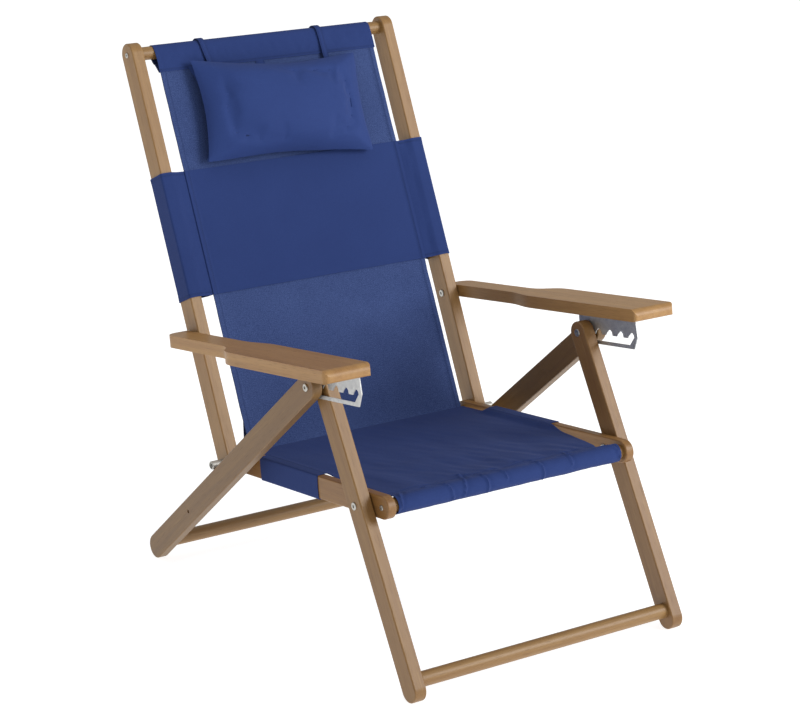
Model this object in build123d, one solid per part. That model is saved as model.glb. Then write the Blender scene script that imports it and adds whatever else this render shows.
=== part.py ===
from build123d import *
from math import atan2, asin, cos, degrees, radians, sin
import os

# Folding wooden beach chair, in millimetres. The chair faces -Y and stands on Z = 0.
# Each side is a stack of boards: seat rail inside, then front leg and back rail in one
# layer, a narrow gap for the notched plate, and the rear leg and armrest outside.
# Everything is drawn for the right-hand side (+X) and mirrored for the left.

# ---- the side view: pivots and the lengths between them ----
FRONT_FOOT_Y = -425.8          # centre of the front leg's rounded foot
FRONT_LEG_LENGTH = 498.0       # foot centre to top bolt
FRONT_LEG_LEAN = 29.8          # from vertical, leaning back
SEAT_PIVOT_UP = 298.8          # foot centre to seat pivot, along the leg
SEAT_LENGTH = 408.4            # seat pivot to rear pivot
SEAT_NOSE = 41.5               # seat pivot to front rod
SEAT_FALL = 6.26               # drop towards the back
BACK_LENGTH = 717.0            # rear pivot to top dowel
BACK_LEAN = 24.4               # from vertical, at the most upright notch
ARM_PIVOT_UP = 217.0           # rear pivot to armrest pivot, along the back rail
REAR_LEG_LENGTH = 673.0        # top bolt to the centre of the rear foot
ARM_FALL = 8.1                 # armrest's drop towards the back

# ---- boards: widths in the side view, and layers across the chair ----
FRONT_LEG_WIDTH, REAR_LEG_WIDTH = 38.0, 42.0
BACK_RAIL_WIDTH, SEAT_RAIL_WIDTH = 40.0, 38.0
SEAT_RAIL_IN, SEAT_RAIL_THICK = 228.0, 16.0
LEG_IN, LEG_THICK = 246.0, 22.0
REAR_LEG_IN, REAR_LEG_THICK = 274.0, 18.0
EASING = 2.2                   # rounding of every board's long edges
WASHER = 2.0                   # gap between neighbouring boards at a pivot

# ---- rods and hardware ----
FOOT_DOWEL_R, TOP_DOWEL_R, SEAT_ROD_R = 12.5, 11.5, 11.0
SOCKET_DEPTH = 10.0            # how far a foot dowel enters its leg
REAR_DOWEL_UP = 21.0           # rear foot centre to its dowel, along the leg
FRONT_DOWEL_UP = 13.0
BOLT_R, RUNNING = 4.0, 0.05    # shank radius, and radial clearance where it turns
BARREL_PLAY = 0.85             # gap between the rear barrel and the rear leg
HEAD_R, HEAD_HIGH = 6.5, 2.4
HEX_R, HEX_DEEP = 2.9, 1.4
ARM_SLEEVE_R, ARM_WASHER_R = 6.0, 12.5
SCREW_R, SCREW_HEAD_R = 2.2, 4.6

# ---- armrest and notched plate ----
ARM_THICK, ARM_LENGTH = 21.0, 556.0
ARM_IN, ARM_FRONT_IN = 270.0, 258.0
ARM_TAIL_OUT, ARM_FRONT_OUT = 314.0, 342.0
ARM_STEP = 325.0               # middle of the sideways curve, from the front end
ARM_STEP_RUN = 80.0
NOSE_R = 12.0
PLATE_T, PLATE_IN = 1.6, 270.2
PLATE_LONG, PLATE_HIGH = 151.0, 49.0
PLATE_SCREW_IN, PLATE_SCREW_R = PLATE_IN + 12.5, 1.75
FLANGE_WIDE = 20.0
NOTCHES, NOTCH_PITCH = 5, 29.0
NOTCH_ABOVE, NOTCH_DEEP = 6.2, 9.5   # notch crown above the bolt's centre, and tooth height
BOLT_BELOW = 28.2              # bolt's centre below the armrest

# ---- soft parts ----
CLOTH, SLACK = 1.2, 0.3
SLING_HALF = 219.0
BAND_FROM, BAND_TO = 284.0, 502.0
FLAP_FROM, FLAP_TO = 185.0, 365.0
SLEEVE_HALF, FRONT_SLEEVE_R = 221.0, 15.0
TAPER_HALF, PANEL_HALF = 190.0, 222.0
SEAT_TAIL = 64.0               # last stretch of seat cloth, in front of the rear dowel
PILLOW_WIDE, PILLOW_TALL, PILLOW_THICK = 330.0, 176.0, 66.0
PILLOW_UP = 590.0              # its middle, above the rear pivot
STRAP_X, STRAP_WIDE = 119.0, 13.0
STRAP_TAIL = 46.0              # how far each strap hangs down behind the dowel


def side_point(start, distance, angle):
    """The point at a distance from start, at an angle above the +Y direction."""
    return start + Vector(0, cos(radians(angle)), sin(radians(angle))) * distance


front_foot = Vector(0, FRONT_FOOT_Y, FRONT_LEG_WIDTH / 2)
leg_rise = 90 - FRONT_LEG_LEAN
top_bolt = side_point(front_foot, FRONT_LEG_LENGTH, leg_rise)
seat_pivot = side_point(front_foot, SEAT_PIVOT_UP, leg_rise)
rear_pivot = side_point(seat_pivot, SEAT_LENGTH, -SEAT_FALL)
front_rod = side_point(seat_pivot, -SEAT_NOSE, -SEAT_FALL)
top_dowel = side_point(rear_pivot, BACK_LENGTH, 90 - BACK_LEAN)
arm_pivot = side_point(rear_pivot, ARM_PIVOT_UP, 90 - BACK_LEAN)
rear_leg_drop = degrees(asin((top_bolt.Z - REAR_LEG_WIDTH / 2) / REAR_LEG_LENGTH))
rear_foot = side_point(top_bolt, REAR_LEG_LENGTH, -rear_leg_drop)
front_dowel = side_point(front_foot, FRONT_DOWEL_UP, leg_rise)
rear_dowel = side_point(rear_foot, REAR_DOWEL_UP, 180 - rear_leg_drop)

# The barrel on the rear pivot rests on the rear leg's upper edge, less a little play.
leg_line = (rear_foot - top_bolt).normalized()
to_pivot = rear_pivot - top_bolt
BARREL_R = (to_pivot - leg_line * to_pivot.dot(leg_line)).length - REAR_LEG_WIDTH / 2 - BARREL_PLAY

# Working planes: local X stays across the chair, local Y runs along the board.
ACROSS = (1, 0, 0)
back_plane = Plane(rear_pivot, x_dir=ACROSS, z_dir=(0, -cos(radians(BACK_LEAN)), sin(radians(BACK_LEAN))))
seat_plane = Plane(front_rod, x_dir=ACROSS, z_dir=(0, sin(radians(SEAT_FALL)), cos(radians(SEAT_FALL))))
arm_up = Vector(0, sin(radians(ARM_FALL)), cos(radians(ARM_FALL)))
arm_back = Vector(0, cos(radians(ARM_FALL)), -sin(radians(ARM_FALL)))
arm_underside = top_bolt + arm_up * BOLT_BELOW
bolt_station = (arm_pivot - arm_underside).dot(arm_back)
arm_front = arm_underside - arm_back * (ARM_LENGTH - 18.0 - bolt_station)
arm_plane = Plane(arm_front, x_dir=ACROSS, z_dir=arm_up)
plate_bolt = ARM_LENGTH - 18.0 - bolt_station      # the top bolt's station on the armrest


def save(node, *pieces):
    """Write one node: a single solid, or a group of separate like solids."""
    shape = pieces[0] if len(pieces) == 1 else Compound(children=list(pieces))
    export_step(shape, f"parts/{node}.step")


def save_pair(node, right):
    """Write a right-hand piece and its mirrored left-hand twin as two nodes."""
    save(node + "_right", right)
    save(node + "_left", mirror(right, about=Plane.YZ))


def rod(centre, radius, x_from, x_to):
    """A cylinder along X through a point of the side view."""
    disc = Plane.YZ.offset(x_from) * Pos(centre.Y, centre.Z) * Circle(radius)
    return extrude(disc, x_to - x_from)


def board(start, end, width, x_inner, thickness):
    """A board with fully rounded ends centred on two points of the side view."""
    run, middle = end - start, (start + end) * 0.5
    turn = degrees(atan2(run.Z, run.Y))
    side = Plane.YZ.offset(x_inner) * Pos(middle.Y, middle.Z) * Rot(0, 0, turn)
    face = side * SlotCenterToCenter(run.length, width)
    solid = extrude(face, thickness)
    rims = [e for e in solid.edges() if abs(e.bounding_box().size.X) < 0.01]
    return fillet(rims, EASING)


def button_head(centre, x_face, outward, radius=HEAD_R, high=HEAD_HIGH):
    """A low domed head with a hexagon socket, standing out of a face at x_face."""
    low, top = sorted((x_face, x_face + outward * high))
    head = rod(centre, radius, low, top)
    rim = [e for e in head.edges() if abs(e.center().X - (x_face + outward * high)) < 0.01]
    head = fillet(rim, high * 0.6)
    socket_plane = Plane.YZ.offset(x_face + outward * high)
    hexagon = socket_plane * Pos(centre.Y, centre.Z) * RegularPolygon(HEX_R * radius / HEAD_R, 6)
    socket = extrude(hexagon, -outward * HEX_DEEP)
    return head - socket


def ring(centre, outer, inner, x_from, x_to):
    return rod(centre, outer, x_from, x_to) - rod(centre, inner, x_from - 1, x_to + 1)


def in_plane(plane, x0, x1, y0, y1, z0, z1):
    """A box given by its limits in a working plane."""
    return plane * Pos((x0 + x1) / 2, (y0 + y1) / 2, (z0 + z1) / 2) * Box(x1 - x0, y1 - y0, z1 - z0)


os.makedirs("parts", exist_ok=True)
LEG_OUT = LEG_IN + LEG_THICK
REAR_LEG_OUT = REAR_LEG_IN + REAR_LEG_THICK
SEAT_RAIL_OUT = SEAT_RAIL_IN + SEAT_RAIL_THICK
SPACER = PLATE_IN - 0.1 - LEG_OUT

# ---- front leg frame: two legs and the round dowel between their feet ----
nut_r = 5.0
front_leg = board(front_foot, top_bolt, FRONT_LEG_WIDTH, LEG_IN, LEG_THICK)
front_leg -= rod(top_bolt, nut_r, LEG_IN - 1, LEG_OUT + 1)
front_leg -= rod(seat_pivot, BOLT_R, LEG_IN - 1, LEG_OUT + 1)
front_leg -= rod(front_dowel, FOOT_DOWEL_R, LEG_IN - 1, LEG_IN + SOCKET_DEPTH)
save_pair("front_leg", front_leg)
save("front_foot_dowel", rod(front_dowel, FOOT_DOWEL_R, -LEG_IN - SOCKET_DEPTH, LEG_IN + SOCKET_DEPTH))

# The barrel nut of the top bolt, seen as a ring with a dark socket on the leg's inner face.
barrel_nut = rod(top_bolt, nut_r, LEG_IN, LEG_OUT + SPACER) + button_head(top_bolt, LEG_IN, -1, HEAD_R, 1.6)
save_pair("top_barrel_nut", barrel_nut)
save_pair("front_leg_spacer", ring(top_bolt, 9.0, nut_r, LEG_OUT, LEG_OUT + SPACER))

# ---- seat pivot bolts: held in the legs, turning in the seat rails ----
seat_bolt = rod(seat_pivot, BOLT_R, SEAT_RAIL_IN - 3, LEG_OUT)
seat_bolt += button_head(seat_pivot, LEG_OUT, 1, HEAD_R, 1.6)
seat_bolt += button_head(seat_pivot, SEAT_RAIL_IN - 0.4, -1, HEAD_R, 2.4)
save_pair("seat_pivot_bolt", seat_bolt)
save_pair("seat_pivot_washer", ring(seat_pivot, 9.0, BOLT_R, SEAT_RAIL_OUT + 0.1, LEG_IN))

# ---- rear leg frame: two wide legs, a dowel between the feet, the top bolts ----
rear_leg = board(top_bolt, rear_foot, REAR_LEG_WIDTH, REAR_LEG_IN, REAR_LEG_THICK)
rear_leg -= rod(top_bolt, BOLT_R, REAR_LEG_IN - 1, REAR_LEG_OUT + 1)
rear_leg -= rod(rear_dowel, FOOT_DOWEL_R, REAR_LEG_IN - 1, REAR_LEG_IN + SOCKET_DEPTH)
plug_place = side_point(rear_foot, 163.0, 180 - rear_leg_drop)
rear_leg -= rod(plug_place, 3.2, REAR_LEG_OUT - 2.5, REAR_LEG_OUT + 1)
save_pair("rear_leg", rear_leg)
save("rear_foot_dowel", rod(rear_dowel, FOOT_DOWEL_R, -REAR_LEG_IN - SOCKET_DEPTH, REAR_LEG_IN + SOCKET_DEPTH))
top_bolt_piece = rod(top_bolt, BOLT_R, REAR_LEG_IN - SPACER, REAR_LEG_OUT)
save_pair("top_bolt", top_bolt_piece + button_head(top_bolt, REAR_LEG_OUT, 1))
save_pair("rear_leg_spacer", ring(top_bolt, 9.0, BOLT_R, REAR_LEG_IN - SPACER, REAR_LEG_IN))

# ---- seat frame: two rails, the front rod and the rear dowel between them ----
seat_rail = board(front_rod, rear_pivot, SEAT_RAIL_WIDTH, SEAT_RAIL_IN, SEAT_RAIL_THICK)
seat_rail -= rod(seat_pivot, BOLT_R + RUNNING, SEAT_RAIL_IN - 1, SEAT_RAIL_OUT + 1)
seat_rail -= rod(rear_pivot, BOLT_R + RUNNING, SEAT_RAIL_IN - 1, SEAT_RAIL_OUT + 1)
seat_rail -= rod(front_rod, SCREW_R, SEAT_RAIL_IN - 1, SEAT_RAIL_OUT + 1)
save_pair("seat_rail", seat_rail)
SCREW_LONG = 32.0
front_rod_solid = rod(front_rod, SEAT_ROD_R, -SEAT_RAIL_IN, SEAT_RAIL_IN)
for side in (-1, 1):
    x_in, x_out = sorted((side * (SEAT_RAIL_IN - SCREW_LONG), side * (SEAT_RAIL_IN + 1)))
    front_rod_solid -= rod(front_rod, SCREW_R, x_in, x_out)
save("seat_front_rod", front_rod_solid)
rod_screw = rod(front_rod, SCREW_R, SEAT_RAIL_IN - SCREW_LONG, SEAT_RAIL_OUT)
rod_screw += button_head(front_rod, SEAT_RAIL_OUT, 1, SCREW_HEAD_R, 1.6)
save_pair("front_rod_screw", rod_screw)
rear_rod_solid = rod(rear_pivot, SEAT_ROD_R, -SEAT_RAIL_IN, SEAT_RAIL_IN)
BOLT_TIP = SEAT_RAIL_IN - 36.0
for side in (-1, 1):
    x_in, x_out = sorted((side * (BOLT_TIP - 1), side * (SEAT_RAIL_IN + 1)))
    rear_rod_solid -= rod(rear_pivot, BOLT_R + RUNNING, x_in, x_out)
save("seat_rear_dowel", rear_rod_solid)

# ---- rear pivots: bolt and barrel, outside the back rail ----
BARREL_FROM, BARREL_TO = LEG_OUT + 0.2, REAR_LEG_OUT + 0.5
pivot_bolt = rod(rear_pivot, BOLT_R, BOLT_TIP, BARREL_TO - 2.0)
pivot_bolt += rod(rear_pivot, 5.6, BARREL_TO - 4.4, BARREL_TO - 2.0)
hexagon = Plane.YZ.offset(BARREL_TO - 2.0) * Pos(rear_pivot.Y, rear_pivot.Z) * RegularPolygon(HEX_R, 6)
pivot_bolt -= extrude(hexagon, -1.6)
save_pair("rear_pivot_bolt", pivot_bolt)
barrel = rod(rear_pivot, BARREL_R, BARREL_FROM, BARREL_TO)
barrel = chamfer(barrel.edges().filter_by(GeomType.CIRCLE), 0.8)
barrel -= rod(rear_pivot, BOLT_R, BARREL_FROM - 1, BARREL_TO + 1)
barrel -= rod(rear_pivot, 5.6, BARREL_TO - 4.4, BARREL_TO + 1)
save_pair("rear_pivot_barrel", barrel)
save_pair("rear_pivot_washer", ring(rear_pivot, 9.0, BOLT_R, SEAT_RAIL_OUT + 0.1, LEG_IN - 0.1))

# ---- back frame: two rails, the top dowel, and its screws ----
back_rail = board(rear_pivot, top_dowel, BACK_RAIL_WIDTH, LEG_IN, LEG_THICK)
back_rail -= rod(rear_pivot, BOLT_R + RUNNING, LEG_IN - 1, LEG_OUT + 1)
back_rail -= rod(arm_pivot, BOLT_R + RUNNING, LEG_IN - 1, LEG_OUT + 1)
back_rail -= rod(top_dowel, SCREW_R, LEG_IN - 1, LEG_OUT + 1)
save_pair("back_rail", back_rail)
top_dowel_solid = rod(top_dowel, TOP_DOWEL_R, -LEG_IN, LEG_IN)
for side in (-1, 1):
    x_in, x_out = sorted((side * (LEG_IN - SCREW_LONG), side * (LEG_IN + 1)))
    top_dowel_solid -= rod(top_dowel, SCREW_R, x_in, x_out)
save("top_dowel", top_dowel_solid)
dowel_screw = rod(top_dowel, SCREW_R, LEG_IN - SCREW_LONG, LEG_OUT)
dowel_screw += button_head(top_dowel, LEG_OUT, 1, SCREW_HEAD_R, 1.6)
save_pair("top_dowel_screw", dowel_screw)

# ---- armrest: a long board, wide in front, curving sideways to a narrow tail ----
step_from, step_to = ARM_STEP - ARM_STEP_RUN / 2, ARM_STEP + ARM_STEP_RUN / 2
with BuildSketch(arm_plane) as arm_outline:
    with BuildLine():
        Line((ARM_FRONT_IN, 0), (ARM_FRONT_OUT, 0))
        Line((ARM_FRONT_OUT, 0), (ARM_FRONT_OUT, step_from))
        Spline((ARM_FRONT_OUT, step_from), (ARM_TAIL_OUT, step_to), tangents=((0, 1), (0, 1)),
               tangent_scalars=(1.6, 1.6))
        Line((ARM_TAIL_OUT, step_to), (ARM_TAIL_OUT, ARM_LENGTH))
        Line((ARM_TAIL_OUT, ARM_LENGTH), (ARM_IN, ARM_LENGTH))
        Line((ARM_IN, ARM_LENGTH), (ARM_IN, step_to))
        Spline((ARM_IN, step_to), (ARM_FRONT_IN, step_from), tangents=((0, -1), (0, -1)))
        Line((ARM_FRONT_IN, step_from), (ARM_FRONT_IN, 0))
    make_face()
armrest = extrude(arm_outline.sketch, ARM_THICK)


def at_station(shape, station, x=None, high=None):
    """Edges of a shape in the armrest's plane, picked by station, X and height."""
    picked = []
    for edge in shape.edges():
        spot = arm_plane.to_local_coords(edge.center())
        if abs(spot.Y - station) > 0.1:
            continue
        if (x is None or abs(spot.X - x) < 0.1) and (high is None or abs(spot.Z - high) < 0.1):
            picked.append(edge)
    return picked


armrest = fillet(at_station(armrest, ARM_LENGTH, x=ARM_TAIL_OUT), 22.0)
armrest = fillet(at_station(armrest, ARM_LENGTH, x=ARM_IN), 4.0)
armrest = fillet(at_station(armrest, 0, x=ARM_FRONT_OUT), 9.0)
armrest = fillet(at_station(armrest, 0, x=ARM_FRONT_IN), 5.0)
nose_cut = in_plane(arm_plane, 200, 400, -1, NOSE_R, ARM_THICK - NOSE_R, ARM_THICK + 1)
nose_pin = arm_plane * Pos(300, NOSE_R, ARM_THICK - NOSE_R) * Rot(0, 90, 0) * Cylinder(NOSE_R, 220)
armrest -= nose_cut - nose_pin
toe_r = 5.0
toe_cut = in_plane(arm_plane, 200, 400, -1, toe_r, -1, toe_r)
toe_pin = arm_plane * Pos(300, toe_r, toe_r) * Rot(0, 90, 0) * Cylinder(toe_r, 220)
armrest -= toe_cut - toe_pin
ARM_BOLT_TIP = ARM_IN + 26.0
armrest -= rod(arm_pivot, ARM_SLEEVE_R + RUNNING, ARM_IN - 20, ARM_BOLT_TIP + 1)
plate_screw_stations = (plate_bolt + 12.0, plate_bolt - 52.0, plate_bolt - 112.0)
for station in plate_screw_stations:
    armrest -= arm_plane * Pos(PLATE_SCREW_IN, station, 5.5) * Cylinder(PLATE_SCREW_R, 15.0)
save_pair("armrest", armrest)

# ---- notched plate: flange screwed under the armrest, web hanging in the gap ----
plate_fore = plate_bolt - NOTCH_PITCH * (NOTCHES - 1) - 11.0
plate_rear = plate_fore + PLATE_LONG
with BuildSketch(Plane(arm_plane.origin + Vector(PLATE_IN, 0, 0), x_dir=arm_back, z_dir=ACROSS)) as web_outline:
    with BuildLine():
        # local X is the station along the armrest, local Y is the height (the underside is 0)
        Polyline((plate_fore, 0), (plate_fore - 3.0, -28.0), (plate_fore + 7.0, -PLATE_HIGH),
                 (plate_rear - 8.0, -PLATE_HIGH), (plate_rear, -PLATE_HIGH + 8.0), (plate_rear, 0),
                 (plate_fore, 0))
    make_face()
    slot_floor, crown = -PLATE_HIGH + 6.2, -BOLT_BELOW + NOTCH_ABOVE
    tooth_tip = crown - NOTCH_DEEP
    first, last = plate_bolt, plate_bolt - NOTCH_PITCH * (NOTCHES - 1)
    corners = [(first + 10.5, slot_floor + 4.0), (first + 6.5, slot_floor), (last + 7.0, slot_floor)]
    corners += [(last - 5.4, crown - 7.0)]
    for count in range(NOTCHES - 1, -1, -1):
        # each notch has a steep front wall, a rounded crown and a slanted rear wall
        spot = plate_bolt - NOTCH_PITCH * count
        corners += [(spot - 4.9, crown - 3.4), (spot - 1.4, crown), (spot + 2.6, crown)]
        corners += [(spot + 5.2, crown - 3.0)]
        if count:
            corners += [(spot + 7.8, tooth_tip + 5.0), (spot + 11.5, tooth_tip)]
            corners += [(spot + NOTCH_PITCH - 6.2, tooth_tip)]
    with BuildLine():
        Polyline(*corners, corners[0])
    make_face(mode=Mode.SUBTRACT)
web = extrude(web_outline.sketch, PLATE_T)
flange = in_plane(arm_plane, PLATE_IN, PLATE_IN + FLANGE_WIDE, plate_fore, plate_rear, -PLATE_T, 0)
plate = web + flange
bend = [e for e in plate.edges() if abs(arm_plane.to_local_coords(e.center()).X - PLATE_IN) < 0.05
        and abs(arm_plane.to_local_coords(e.center()).Z) < 0.05 and e.length > 50]
plate = fillet(bend, 1.4)
screws = []
for station in plate_screw_stations:
    cone = Cone(PLATE_SCREW_R, PLATE_SCREW_R + PLATE_T, PLATE_T)
    seat = arm_plane * Pos(PLATE_SCREW_IN, station, -PLATE_T / 2) * Rot(180, 0, 0) * cone
    plate -= seat
    slot = arm_plane * Pos(PLATE_SCREW_IN, station, -PLATE_T + 0.4) * Box(4.2, 0.9, 0.9)
    shank = arm_plane * Pos(PLATE_SCREW_IN, station, 5.5) * Cylinder(PLATE_SCREW_R, 11.0)
    screws.append(seat + shank - slot)
save_pair("notch_plate", plate)
save("plate_screws_right", *screws)
save("plate_screws_left", *[mirror(s, about=Plane.YZ) for s in screws])

# ---- armrest pivots: bolt through the back rail, washer between rail and armrest ----
arm_bolt = rod(arm_pivot, BOLT_R, LEG_IN - 0.5, ARM_IN + 1)
arm_bolt += button_head(arm_pivot, LEG_IN - 0.1, -1, HEAD_R, 2.0)
arm_bolt += rod(arm_pivot, ARM_SLEEVE_R, ARM_IN + 0.2, ARM_BOLT_TIP)     # the sleeve nut that the armrest turns on
save_pair("arm_pivot_bolt", arm_bolt)
save_pair("arm_pivot_washer", ring(arm_pivot, ARM_WASHER_R, BOLT_R + RUNNING, LEG_OUT + 0.1, ARM_IN - 0.1))


def sleeve(centre, radius, half):
    return ring(centre, radius + SLACK + CLOTH, radius + SLACK, -half, half)


# ---- back sling: one long cloth sewn round the top dowel and the rear dowel ----
sling_front = TOP_DOWEL_R + SLACK + CLOTH
sling = in_plane(back_plane, -SLING_HALF, SLING_HALF, 0, BACK_LENGTH, sling_front - CLOTH, sling_front)
sling -= rod(top_dowel, TOP_DOWEL_R + SLACK, -300, 300)
sling -= rod(rear_pivot, SEAT_ROD_R + SLACK, -300, 300)
sling += sleeve(top_dowel, TOP_DOWEL_R, SLING_HALF)
sling += ring(rear_pivot, TOP_DOWEL_R + SLACK + CLOTH, SEAT_ROD_R + SLACK, -SLING_HALF, SLING_HALF)
save("back_sling", sling)

# ---- lumbar band: a sleeve round each back rail and a web across in front of the sling ----
half_rail = BACK_RAIL_WIDTH / 2 + SLACK
web_low, web_high = sling_front + 0.4, sling_front + 0.4 + CLOTH
band = in_plane(back_plane, -LEG_IN + SLACK, LEG_IN - SLACK, BAND_FROM, BAND_TO, web_low, web_high)
for side in (-1, 1):
    inner, outer = side * (LEG_IN - SLACK), side * (LEG_OUT + SLACK)
    tube = in_plane(back_plane, *sorted((inner - side * CLOTH, outer + side * CLOTH)), BAND_FROM, BAND_TO,
                    -half_rail - CLOTH, half_rail + CLOTH)
    tube -= in_plane(back_plane, *sorted((inner, outer)), BAND_FROM - 1, BAND_TO + 1, -half_rail, half_rail)
    band += tube
save("lumbar_band", band)

# ---- seat sling: sleeves over both rails, a panel between them, tapering to the front rod ----
rail_half = SEAT_RAIL_WIDTH / 2 + SLACK
wall_in = SEAT_RAIL_IN - SLACK - CLOTH
rear_skin = SEAT_ROD_R + SLACK + CLOTH
seat_side = Plane(front_rod, x_dir=seat_plane.y_dir, z_dir=ACROSS)


def seat_strip(plan, station_from, station_to):
    """The seat cloth between two stations, cut to a plan outline (half of it, mirrored)."""
    with BuildSketch(seat_side) as section:
        with BuildLine():
            # local X is the station behind the front rod, local Y is the height above it
            fall = (FRONT_SLEEVE_R - rear_skin) / SEAT_SPAN
            high_from, high_to = FRONT_SLEEVE_R - fall * station_from, FRONT_SLEEVE_R - fall * station_to
            Polyline((station_from, high_from - CLOTH), (station_from, high_from), (station_to, high_to),
                     (station_to, high_to - CLOTH), (station_from, high_from - CLOTH))
        make_face()
    with BuildSketch(seat_plane.offset(-10)) as outline:
        with BuildLine():
            corners = list(plan) + [(-x, y) for x, y in reversed(plan)]
            Polyline(*corners, corners[0])
        make_face()
    return extrude(section.sketch, wall_in + 1, both=True) & extrude(outline.sketch, 40)


SEAT_SPAN = SEAT_NOSE + SEAT_LENGTH
panel_to = SEAT_SPAN - SEAT_TAIL
seat_cloth = seat_strip([(TAPER_HALF, 0), (TAPER_HALF, 18), (wall_in + 0.2, FLAP_FROM), (wall_in + 0.2, FLAP_TO),
                         (PANEL_HALF, FLAP_TO + 2), (PANEL_HALF, panel_to)], 0, panel_to)
seat_cloth -= rod(front_rod, FRONT_SLEEVE_R - CLOTH, -300, 300)
seat_cloth += ring(front_rod, FRONT_SLEEVE_R, FRONT_SLEEVE_R - CLOTH, -SLEEVE_HALF, SLEEVE_HALF)
for side in (-1, 1):
    inner, outer = side * (SEAT_RAIL_IN - SLACK), side * (SEAT_RAIL_OUT + SLACK)
    tube = in_plane(seat_plane, *sorted((inner - side * CLOTH, outer + side * CLOTH)), FLAP_FROM, FLAP_TO,
                    -rail_half - CLOTH, rail_half + CLOTH)
    tube -= in_plane(seat_plane, *sorted((inner, outer)), FLAP_FROM - 1, FLAP_TO + 1, -rail_half, rail_half)
    seat_cloth += tube
save("seat_sling", seat_cloth)
# The last strip, between the seat and the rear dowel, creases when the chair folds.
save("seat_sling_tail", seat_strip([(PANEL_HALF, panel_to + 0.2), (PANEL_HALF, SEAT_SPAN - 11.0)],
                                   panel_to + 0.2, SEAT_SPAN - 11.0))

# ---- head pillow: a plump pad in front of the sling, hung from the dowel by two straps ----
pad_back = web_high + 0.8
pillow_box = in_plane(back_plane, -PILLOW_WIDE / 2, PILLOW_WIDE / 2, PILLOW_UP - PILLOW_TALL / 2, PILLOW_UP + PILLOW_TALL / 2,
                      pad_back, pad_back + PILLOW_THICK)
pillow = fillet(pillow_box.edges(), PILLOW_THICK * 0.42)
save("head_pillow", pillow)
strap_in = TOP_DOWEL_R + SLACK + CLOTH + 0.3
for side, name in ((-1, "left"), (1, "right")):
    x_low, x_high = side * STRAP_X - STRAP_WIDE / 2, side * STRAP_X + STRAP_WIDE / 2
    loop = ring(top_dowel, strap_in + CLOTH, strap_in, x_low, x_high)
    loop -= in_plane(back_plane, x_low - 1, x_high + 1, BACK_LENGTH - 40, BACK_LENGTH, -40, 40)
    tail_low = PILLOW_UP + PILLOW_TALL / 2 + 0.4
    front_tail = in_plane(back_plane, x_low, x_high, tail_low, BACK_LENGTH, strap_in, strap_in + CLOTH)
    rear_tail = in_plane(back_plane, x_low, x_high, BACK_LENGTH - STRAP_TAIL, BACK_LENGTH, -strap_in - CLOTH, -strap_in)
    save("pillow_strap_" + name, loop + front_tail + rear_tail)

print("pivots", [tuple(round(c, 1) for c in (p.Y, p.Z)) for p in (seat_pivot, rear_pivot, top_bolt, arm_pivot)])
print("barrel radius", round(BARREL_R, 2), "rear leg drop", round(rear_leg_drop, 2))
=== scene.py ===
import math

import bpy
from mathutils import Matrix, Vector, noise


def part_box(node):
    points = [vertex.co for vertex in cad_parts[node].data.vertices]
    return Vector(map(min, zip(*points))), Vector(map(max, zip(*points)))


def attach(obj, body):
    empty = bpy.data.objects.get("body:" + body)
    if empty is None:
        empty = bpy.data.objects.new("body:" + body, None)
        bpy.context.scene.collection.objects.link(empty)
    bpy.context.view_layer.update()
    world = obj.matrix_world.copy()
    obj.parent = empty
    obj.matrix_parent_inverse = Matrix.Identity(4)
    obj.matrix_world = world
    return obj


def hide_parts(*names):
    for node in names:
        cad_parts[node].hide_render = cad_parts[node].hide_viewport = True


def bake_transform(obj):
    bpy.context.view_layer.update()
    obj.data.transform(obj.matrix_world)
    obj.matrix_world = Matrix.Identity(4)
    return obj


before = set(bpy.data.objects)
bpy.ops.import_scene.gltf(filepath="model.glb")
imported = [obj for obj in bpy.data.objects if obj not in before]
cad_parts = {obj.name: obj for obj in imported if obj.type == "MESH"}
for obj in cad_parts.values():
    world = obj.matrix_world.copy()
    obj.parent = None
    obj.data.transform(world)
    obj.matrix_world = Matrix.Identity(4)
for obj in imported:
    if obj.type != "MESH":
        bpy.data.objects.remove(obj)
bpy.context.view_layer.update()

# ---- The studio: a floor and a room that glow white, one large soft lamp from the front at +X,
# weak lamps from -X and from above, and a camera in front at -X that looks a little down.
bpy.ops.object.select_all(action="DESELECT")
bpy.ops.mesh.primitive_plane_add(size=60.0, location=(0, 0, -0.0004))
floor = bpy.context.object
floor.name = "studio_floor"
bpy.ops.object.transform_apply(location=True, rotation=True, scale=True)
floor_paint = bpy.data.materials.new("floor_paint")
floor_paint.use_nodes = True
floor_skin = floor_paint.node_tree.nodes["Principled BSDF"]
floor_skin.inputs["Base Color"].default_value = (0.5, 0.5, 0.5, 1)
floor_skin.inputs["Roughness"].default_value = 0.95
floor_skin.inputs["Specular IOR Level"].default_value = 0.1
floor_skin.inputs["Emission Color"].default_value = (1, 1, 1, 1)
floor_skin.inputs["Emission Strength"].default_value = 0.85
floor.data.materials.append(floor_paint)

room = bpy.data.worlds.new("room")
bpy.context.scene.world = room
room.use_nodes = True
room.node_tree.nodes["Background"].inputs["Color"].default_value = (1, 1, 1, 1)
room.node_tree.nodes["Background"].inputs["Strength"].default_value = 0.42
bpy.context.scene.view_settings.view_transform = "Standard"


def soft_lamp(name, place, target, width, power):
    """A square lamp that shines from one place towards another."""
    bpy.ops.object.light_add(type="AREA", location=place)
    lamp = bpy.context.object
    lamp.name = name
    lamp.data.size = width
    lamp.data.energy = power
    lamp.rotation_euler = (Vector(target) - Vector(place)).to_track_quat("-Z", "Y").to_euler()


soft_lamp("key_lamp", (2.35, -3.0, 2.15), (0, 0, 0.45), 2.2, 116)
soft_lamp("left_lamp", (-3.6, -1.2, 2.2), (0, 0, 0.4), 2.0, 3)
soft_lamp("top_lamp", (-0.3, 0.5, 3.6), (0, 0, 0.4), 2.4, 14)

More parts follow.
